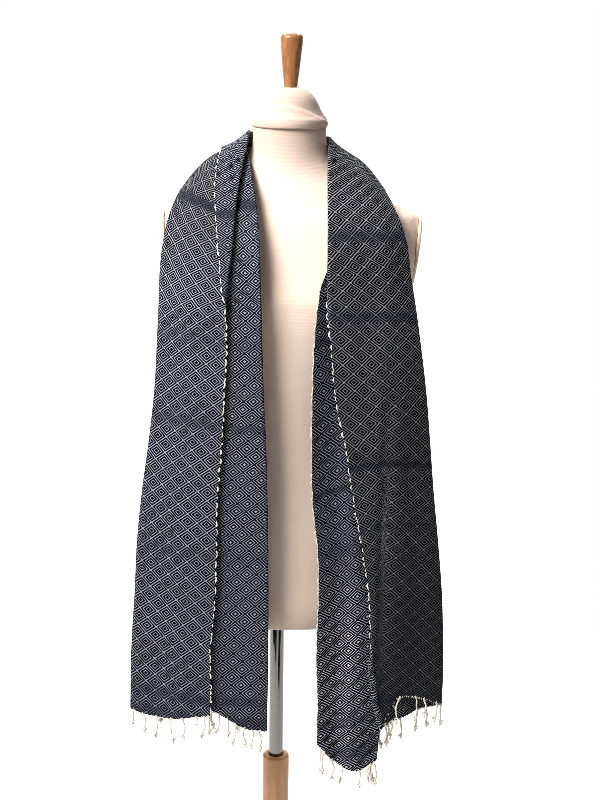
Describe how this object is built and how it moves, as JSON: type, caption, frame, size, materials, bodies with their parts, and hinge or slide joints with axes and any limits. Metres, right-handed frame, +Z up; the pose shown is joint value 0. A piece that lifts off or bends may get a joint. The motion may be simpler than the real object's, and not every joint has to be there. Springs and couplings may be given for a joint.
{
  "type": "krama scarf on a limbless dress form",
  "caption": "A long woven scarf folded lengthwise and hung round the neck of a limbless torso form, which slides and turns on a pole in a wooden stand.",
  "frame": {"origin": "middle of the bounding box at floor level", "axes": "+Z up, the form's chest and the scarf's ends face -Y, and +X is to the right of someone who looks at the front"},
  "size_m": [0.4969, 0.4219, 1.5983],
  "materials": {
    "navy_cotton": "matte weave",
    "cream_cotton": "matte yarn",
    "cream_jersey": "matte jersey",
    "beech": "satin lacquer",
    "varnished_wood": "gloss varnish",
    "chrome": "polished"
  },
  "bodies": {
    "stand": {"column": "beech", "leg_1": "beech", "leg_2": "beech", "leg_3": "beech"},
    "pole": {"pole": "chrome"},
    "form": {"form_torso": "cream_jersey", "armhole_plate_left": "cream_jersey", "armhole_plate_right": "cream_jersey", "neck_cap": "cream_jersey", "finial": "varnished_wood", "scarf_left_front": "navy_cotton", "scarf_neck": "navy_cotton", "scarf_right_front": "navy_cotton", "fringe_left": "cream_cotton", "fringe_right": "cream_cotton"}
  },
  "joints": [
    {"name": "pole_slide", "type": "slide", "parent": "stand", "child": "pole", "axis": [0, 0, 1], "range_m": [-0.1, 0.12]},
    {"name": "form_swivel", "type": "hinge", "parent": "pole", "child": "form", "pos_m": [-0.012, -0.052, 0.75], "axis": [0, 0, 1], "continuous": true}
  ]
}
